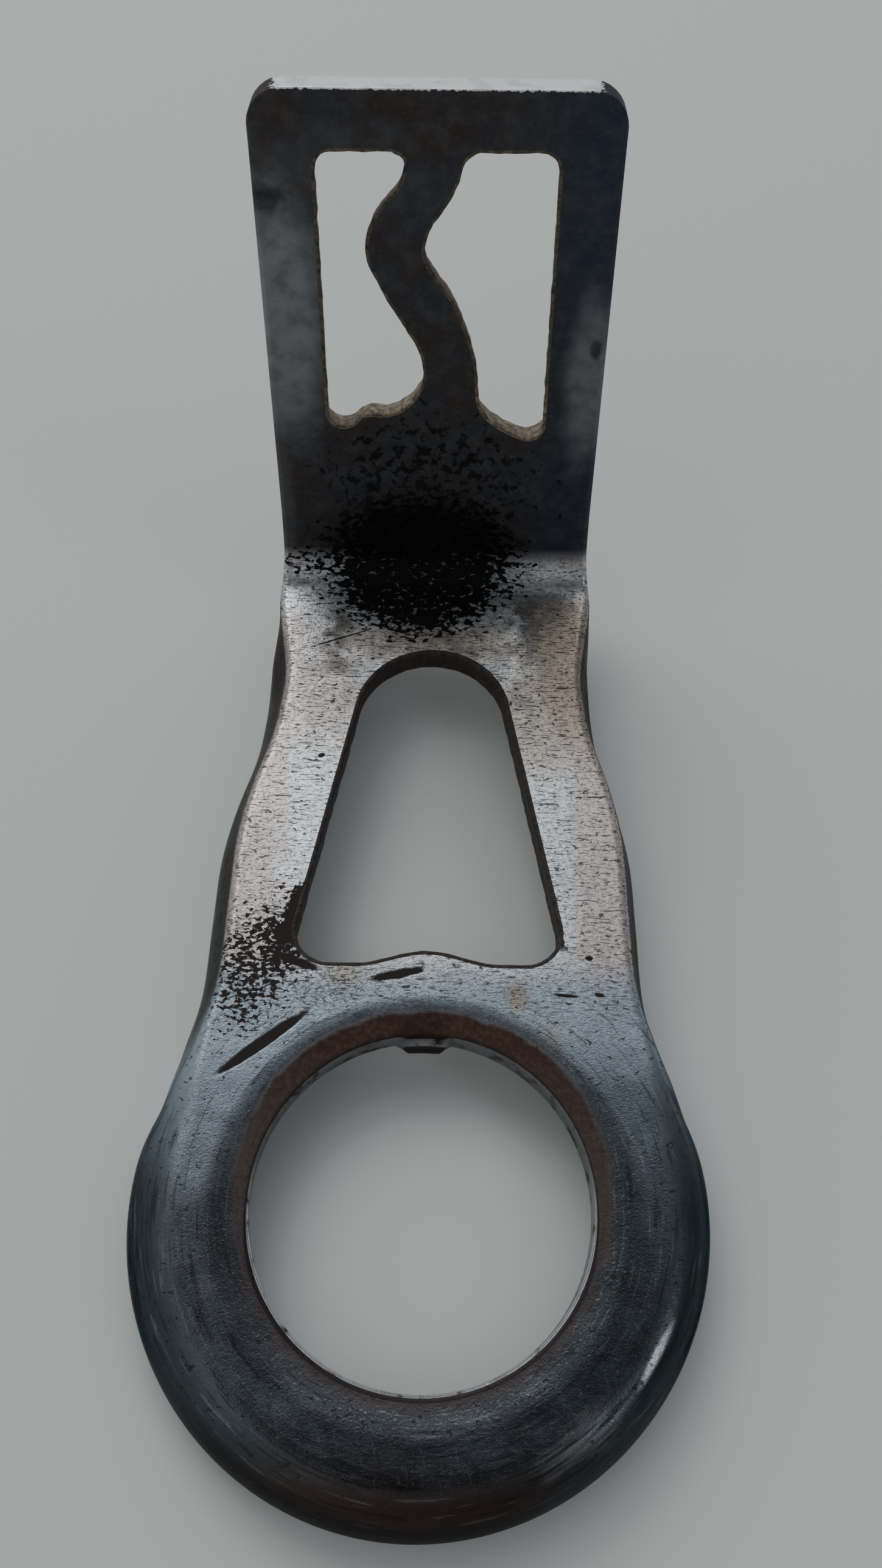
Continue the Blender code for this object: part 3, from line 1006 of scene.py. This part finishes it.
    def chipped(self):
        """Plating chipped back from the tapered opening's edge."""
        tree = self.tree
        top, corner = tapered_arcs()
        start, end = top[-1], corner[0]
        slant = (end.x - start.x) / (end.y - start.y)
        side = tree.maths("MULTIPLY_ADD", self.along, slant, start.x - slant * start.y)
        beside = tree.maths("SUBTRACT", self.aside, side)
        above = tree.maths("SUBTRACT", self.distance_from(TAPER_TOP), TAPER_TOP_RADIUS)
        on_side = tree.rise(self.along, start.y + 0.3 * MM, start.y - 0.3 * MM)
        to_edge = tree.between(on_side, above, beside)
        uneven = tree.product(tree.maths("SUBTRACT", self.small, 0.36), 1.3 * MM)
        bare_side = self.spot((-11.0, -35.4), (2.3, 3.5), 0.3, 0.7, 900.0)
        width = tree.maths("ADD", uneven, tree.product(bare_side, 1.0 * MM))
        crest = TAPER_TOP[1] + TAPER_TOP_RADIUS
        return tree.product(
            tree.rise(tree.maths("SUBTRACT", to_edge, width), 0.04 * MM, -0.04 * MM),
            tree.rise(self.along, TAPER_LOW + 0.7 * MM, TAPER_LOW + 1.7 * MM),
            tree.rise(self.along, crest + 0.9 * MM, crest + 0.5 * MM),
        )

    def bare_marks(self):
        """Where the plating is gone: flakes by the wide end of the opening, streaks and dashes."""
        tree = self.tree
        by_corner = self.spots(
            ((-12.0, -36.9), (2.6, 3.4), 0.76, 0.8, 0.5, 300.0),
            ((-14.0, -39.2), (3.6, 6.0), 0.60, 0.7, 0.5, 300.0, -0.2),
            ((-11.6, -32.8), (1.7, 2.4), 0.40, 0.7, 0.5, 300.0),
        )
        flakes = self.scattered(by_corner, 2200.0, (0.8, 1.25, 1), 0.015)
        by_tongue = self.spots(((-8.6, -40.4), (4.4, 2.3), 0.42, 0.6, 0.6, 300.0, -0.15))
        worn = self.scattered(by_tongue, 2600.0, (0.9, 1.2, 1), 0.04)
        streaks = self.spots(
            ((-12.8, -45.5), (4.3, 0.48), 1.0, 0.12, 0.4, 900.0, 0.66),
            ((-2.4, -39.7), (2.3, 0.38), 1.0, 0.2, 0.9, 1200.0, 0.20),
            ((-10.6, -38.7), (2.0, 0.42), 1.0, 0.2, 0.8, 900.0, -0.36),
            ((11.2, -41.3), (1.0, 0.14), 1.0, 0.2, 0.4, 1200.0, -0.08),
            ((13.9, -41.2), (0.42, 0.16), 1.0, 0.2, 0.4, 1200.0, -0.2),
            ((-8.4, -7.2), (2.7, 0.07), 1.0, 0.25, 0.5, 1200.0, 0.36),
            ((13.2, -38.1), (0.30, 0.22), 1.0, 0.25, 0.4, 1500.0),
            ((-9.6, -19.6), (0.30, 0.20), 1.0, 0.3, 0.6, 1500.0, 0.3),
        )
        found = tree.most(self.chipped(), flakes, tree.product(worn, 0.55), streaks)
        return tree.product(found, self.on_top)

    def small_marks(self):
        """The pits alone, and the pits with the fine pits, dashes and scratches."""
        tree = self.tree
        dashes = tree.most(
            self.scratches(0.0, 6800.0, 7.0, 0.62),
            self.scratches(0.06, 3400.0, 9.0, 0.42),
            tree.product(self.scratches(-0.15, 5000.0, 12.0, 0.45), 0.6),
        )
        pits = self.speckle(tree.between(self.on_plate, 0.21, 0.12), 1900.0, (0.8, 1.3, 1), 0.02)
        fine_pits = self.speckle(tree.between(self.on_neck, 0.20, 0.36), 5200.0, (0.6, 1.4, 1), 0.04)
        found = tree.most(
            tree.product(pits, 0.85),
            tree.product(fine_pits, 0.55),
            tree.product(dashes, tree.between(self.on_neck, 0.22, 0.8)),
            tree.product(self.scratches(1.35, 5200.0, 14.0, 0.42), 0.35),
        )
        return pits, tree.product(found, tree.inverse(tree.most(self.end_face, self.film)))

    def tarnish(self):
        """Black tarnish in the bend, thinning into flecks."""
        tree = self.tree
        core = self.spots(
            ((-1.4, 0.6), (9.4, 7.6), 0.86, 0.42, 0.45, 240.0),
            ((-8.0, 0.9), (7.5, 2.0), 0.55, 0.6, 0.6, 300.0),
        )
        flecked = self.scattered(core, 1700.0, (0.8, 1.15, 1), 0.04)
        upper = self.spots(((-0.9, 8.0), (10.5, 9.5), 0.50, 0.6, 0.5, 240.0))
        blotches = tree.product(self.scattered(upper, 1050.0, (1, 1, 1), 0.05), 0.8)
        film = self.spots(((-1.2, 1.6), (8.4, 6.6), 0.80, 0.5, 0.5, 300.0))
        return tree.product(tree.most(flecked, blotches, film), self.on_top)

    def rusted(self):
        """The brown band round the hole, wider towards the neck, and its faint halo."""
        tree = self.tree
        towards_neck = tree.rise(self.along, self.ring_y - 6 * MM, self.ring_y + 13 * MM)
        reach = tree.between(towards_neck, 13.75 * MM, 14.95 * MM)
        lumps = tree.swing(tree.cloud(self.place, 420.0, 5.0, 0.6), 1.0 * MM)
        beyond = tree.maths("SUBTRACT", tree.maths("ADD", self.from_hole, lumps), reach)
        band = tree.product(tree.rise(beyond, 0.36 * MM, -0.20 * MM), tree.between(towards_neck, 0.45, 1.0))
        return band, tree.rise(beyond, 0.9 * MM, 0.0, 0.0, 0.5)

    def hole_rim(self, low_half):
        """The hole's dark edge, and the bright rim just inside it, strongest at the front."""
        tree = self.tree
        edge = tree.between(low_half, 13.16 * MM, 13.50 * MM)
        beyond = tree.maths("SUBTRACT", self.from_hole, edge)
        outer = tree.between(low_half, 0.02 * MM, -0.22 * MM)
        inner = tree.between(low_half, -0.06 * MM, -0.30 * MM)
        bright = tree.product(
            tree.rise(beyond, outer, inner),
            tree.rise(self.from_hole, 12.5 * MM, 12.65 * MM),
            tree.rise(self.middle, 0.3, 0.5),
            tree.rise(self.along, self.ring_y + 4 * MM, self.ring_y - 3 * MM, 0.25, 1.0),
        )
        return tree.rise(beyond, 0.14 * MM, 0.0), bright

    def bumps(self, marks):
        """Gentle waves, fine grain, and the step down to bare steel."""
        tree = self.tree
        waves = relief(tree, tree.cloud(self.place, 110.0, 2.0), 0.16 * MM)
        grain = tree.maths("ADD", self.small, tree.cloud(self.place, 6500.0, 2.0))
        fine = relief(tree, grain, 0.016 * MM, waves)
        return relief(tree, tree.inverse(marks), 0.03 * MM, fine)

    def build(self):
        tree, finish, shader = self.tree, self.finish, self.shader
        found = self.flange_films(self.ring_lines(self.ring_films(self.tints())))
        pits, small_marks = self.small_marks()
        bare = self.bare_marks()
        rusted, halo = self.rusted()
        tarnish = self.tarnish()
        low_half = tree.rise(self.along, self.ring_y + 1 * MM, self.ring_y - 6 * MM)
        rust = tree.layers(
            finish.rust,
            (tree.rise(self.small, 0.42, 0.66), finish.rust_light),
            (tree.product(low_half, 0.8), finish.rust_dark),
        )
        dark_rim, bright_rim = self.hole_rim(low_half)
        found = tree.layers(
            found,
            (self.film, self.plate_film()),
            # The plate's end: white, partly a painted highlight
            (self.end_face, self.end_smudges_and_highlight()),
            (small_marks, finish.steel),
            (bare, finish.steel),
            (halo, finish.rust_halo),
            (rusted, rust),
            (tarnish, finish.soot),
            (dark_rim, finish.steel),
            (bright_rim, finish.plating),
        )
        tree.feed(shader.inputs["Base Color"], found)

        dull = tree.most(bare, rusted, tarnish, tree.product(small_marks, 0.8))
        dull = tree.product(dull, tree.inverse(bright_rim))
        metal = tree.between(self.film, tree.inverse(tree.product(dull, 0.9)), 0.62)
        metal = tree.product(metal, tree.between(self.end_face, 1.0, 0.45), tree.inverse(self.lip))
        tree.feed(shader.inputs["Metallic"], metal)
        rough = tree.between(self.on_neck, 0.25, 0.30)
        rough = tree.between(tree.most(self.film, self.end_face), rough, 0.45)
        rough = tree.maths("ADD", rough, tree.swing(self.middle, 0.22))
        tree.feed(shader.inputs["Roughness"], tree.between(tree.most(dull, self.lip), rough, 0.6))
        tree.feed(shader.inputs["Normal"], self.bumps(tree.most(bare, tree.product(tarnish, 0.3), pits)))
        shader.inputs["Specular IOR Level"].default_value = 0.25
        shader.inputs["Specular Tint"].default_value = finish.sheen
        return self.material


def pierced_edge(finish, groups):
    """The rough walls of the openings."""
    material, tree, shader = new_material("pierced_edge")
    place = sheet_place(tree)
    parts = tree.add("ShaderNodeSeparateXYZ")
    tree.feed(parts.inputs[0], place)
    on_plate = tree.rise(parts.outputs["Y"], 4 * MM, 8 * MM)
    grain = tree.cloud(place, 1500.0, 5.0, 0.7)
    torn = tree.use(groups.flecks, place=place, stretch=(1, 1, 0.4), grain=1900.0, cover=0.5, soft=0.08)
    low_sill = tree.rise(parts.outputs["Y"], 20 * MM, 18 * MM, 0.45, 1.0)
    tan = tree.blend(tree.product(tree.rise(grain, 0.3, 0.6), low_sill), finish.steel, finish.burr)
    brown = tree.blend(tree.rise(grain, 0.35, 0.7), finish.steel, finish.cut_brown)
    found = tree.blend(on_plate, brown, tan)
    tree.feed(shader.inputs["Base Color"], tree.blend(tree.product(torn, 0.4), found, finish.steel))
    shader.inputs["Metallic"].default_value = 0.2
    tree.feed(shader.inputs["Roughness"], tree.between(grain, 0.5, 0.85))
    tree.feed(shader.inputs["Normal"], relief(tree, tree.maths("SUBTRACT", grain, torn), 0.07 * MM))
    return material


# ---------------------------------------------------------------- stage


# Colours of the room, and the ways towards its parts
PALE_WALL = (0.46, 0.47, 0.475, 1)
GREY_WALL = (0.20, 0.20, 0.21, 1)
WINDOW = (0.90, 0.94, 0.98, 1)
GLINT = (1.2, 1.3, 1.4, 1)
DARK_CEILING = (0.05, 0.055, 0.062, 1)
TO_GREY_WALL = (0.80, -0.60, 0)
TO_WINDOW = (-0.05, 0.707, 0.707)
TO_GLINT = (0.67, -0.23, 0.71)
TO_CEILING = (0, -0.10, 1)

LAMP_PLACE = (-0.22, 0.50, 0.52)
LAMP_TARGET = (0, 0, 0.01)
LAMP_SIZE = (0.5, 0.35)

VIEW_PLACE = (1.5 * MM, -44.7 * MM, 111.9 * MM)
VIEW_TURN = (27.792, -0.140, 0.893)  # degrees about X, Y and Z


class Stage(bpy.types.PropertyGroup):
    """Table, light and view."""

    table: colour("Table", "Colour of the table", 0.84, 0.855, 0.835)
    lamp: bpy.props.FloatProperty(
        name="Lamp", description="Watts of the large soft lamp, behind and to the left", default=1.15
    )
    room: bpy.props.FloatProperty(name="Room", description="Brightness of the surroundings", default=1.0)
    lens: bpy.props.FloatProperty(name="Lens", description="Focal length in millimetres", default=31.4)


def table_top(settings):
    shape = bmesh.new()
    bmesh.ops.create_grid(shape, x_segments=2, y_segments=2, size=3.0)
    mesh = bpy.data.meshes.new("table")
    shape.to_mesh(mesh)
    shape.free()
    table = bpy.data.objects.new("table", mesh)
    bpy.context.scene.collection.objects.link(table)
    material, _, shader = new_material("pale_table")
    shader.inputs["Base Color"].default_value = settings.table
    shader.inputs["Roughness"].default_value = 0.65
    mesh.materials.append(material)


def surroundings(settings):
    """A softly lit room: brightest behind the plate, dark straight above."""
    world = bpy.data.worlds.new("room")
    bpy.context.scene.world = world
    world.use_nodes = True
    tree = Tree(world.node_tree)
    background = world.node_tree.nodes["Background"]
    facing = tree.add("ShaderNodeTexCoord").outputs["Generated"]

    def towards(way, low, high):
        """A soft round area of the room, about one way out of it."""
        return tree.rise(tree.vector("DOT_PRODUCT", facing, Vector(way).normalized()), low, high)

    found = tree.layers(
        PALE_WALL,
        (towards(TO_GREY_WALL, -0.3, 0.7), GREY_WALL),
        (towards(TO_WINDOW, 0.83, 0.94), WINDOW),
        (towards(TO_GLINT, 0.980, 0.992), GLINT),
        (towards(TO_CEILING, 0.87, 0.975), DARK_CEILING),
    )
    tree.feed(background.inputs["Color"], found)
    background.inputs["Strength"].default_value = settings.room


def soft_lamp(settings):
    lamp = bpy.data.lights.new("lamp", "AREA")
    lamp.shape = "RECTANGLE"
    lamp.size, lamp.size_y = LAMP_SIZE
    lamp.energy = settings.lamp
    holder = bpy.data.objects.new("lamp", lamp)
    aim = Vector(LAMP_TARGET) - Vector(LAMP_PLACE)
    holder.location = LAMP_PLACE
    holder.rotation_euler = aim.to_track_quat("-Z", "Y").to_euler()
    bpy.context.scene.collection.objects.link(holder)


def viewpoint(settings):
    """A hand-held view from above the ring, looking down along the neck."""
    camera = bpy.data.cameras.new("view")
    camera.lens = settings.lens
    camera.sensor_width = 36
    camera.clip_start = 0.005
    holder = bpy.data.objects.new("view", camera)
    holder.location = VIEW_PLACE
    holder.rotation_euler = [math.radians(angle) for angle in VIEW_TURN]
    bpy.context.scene.collection.objects.link(holder)
    bpy.context.scene.camera = holder


# ---------------------------------------------------------------- operators and panel


class OPENER_OT_sheet(bpy.types.Operator):
    """Press, pierce and bend the sheet, and finish it"""

    bl_idname = "opener.sheet"
    bl_label = "Pressed sheet"

    def execute(self, context):
        flat = Flat(context.scene.opener_sizes)
        finish = context.scene.opener_finish
        mesh = pressed_sheet(flat)
        groups = Groups()
        mesh.materials.append(Plating(flat, finish, groups).build())
        mesh.materials.append(pierced_edge(finish, groups))
        sheet = bpy.data.objects.new("worn_sheet", mesh)
        context.scene.collection.objects.link(sheet)
        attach(sheet, "root")
        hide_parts(BODY_NODE)
        return {"FINISHED"}


class OPENER_OT_stage(bpy.types.Operator):
    """Lay out the table, the light and the view"""

    bl_idname = "opener.stage"
    bl_label = "Stage"

    def execute(self, context):
        settings = context.scene.opener_stage
        table_top(settings)
        surroundings(settings)
        soft_lamp(settings)
        viewpoint(settings)
        return {"FINISHED"}


class OPENER_PT_panel(bpy.types.Panel):
    """Sizes, finish and stage of the opener"""

    bl_idname = "OPENER_PT_panel"
    bl_label = "Bottle opener"
    bl_space_type = "VIEW_3D"
    bl_region_type = "UI"
    bl_category = "Opener"

    def draw(self, context):
        layout = self.layout
        for operator in (OPENER_OT_stage, OPENER_OT_sheet):
            layout.operator(operator.bl_idname)
        scene = context.scene
        for settings in (scene.opener_sizes, scene.opener_finish, scene.opener_stage):
            box = layout.box()
            for name in settings.bl_rna.properties.keys():
                if name not in ("rna_type", "name"):
                    box.prop(settings, name)


CLASSES = (SheetSizes, Finish, Stage, OPENER_OT_sheet, OPENER_OT_stage, OPENER_PT_panel)


def register():
    for each in CLASSES:
        bpy.utils.register_class(each)
    bpy.types.Scene.opener_sizes = bpy.props.PointerProperty(type=SheetSizes)
    bpy.types.Scene.opener_finish = bpy.props.PointerProperty(type=Finish)
    bpy.types.Scene.opener_stage = bpy.props.PointerProperty(type=Stage)


def unregister():
    del bpy.types.Scene.opener_stage
    del bpy.types.Scene.opener_finish
    del bpy.types.Scene.opener_sizes
    for each in reversed(CLASSES):
        bpy.utils.unregister_class(each)


def main():
    for obj in list(bpy.data.objects):
        if obj.name in ("Cube", "Light", "Camera"):
            bpy.data.objects.remove(obj, do_unlink=True)
    register()
    bpy.ops.opener.stage()
    bpy.ops.opener.sheet()


if __name__ == "__main__":
    main()
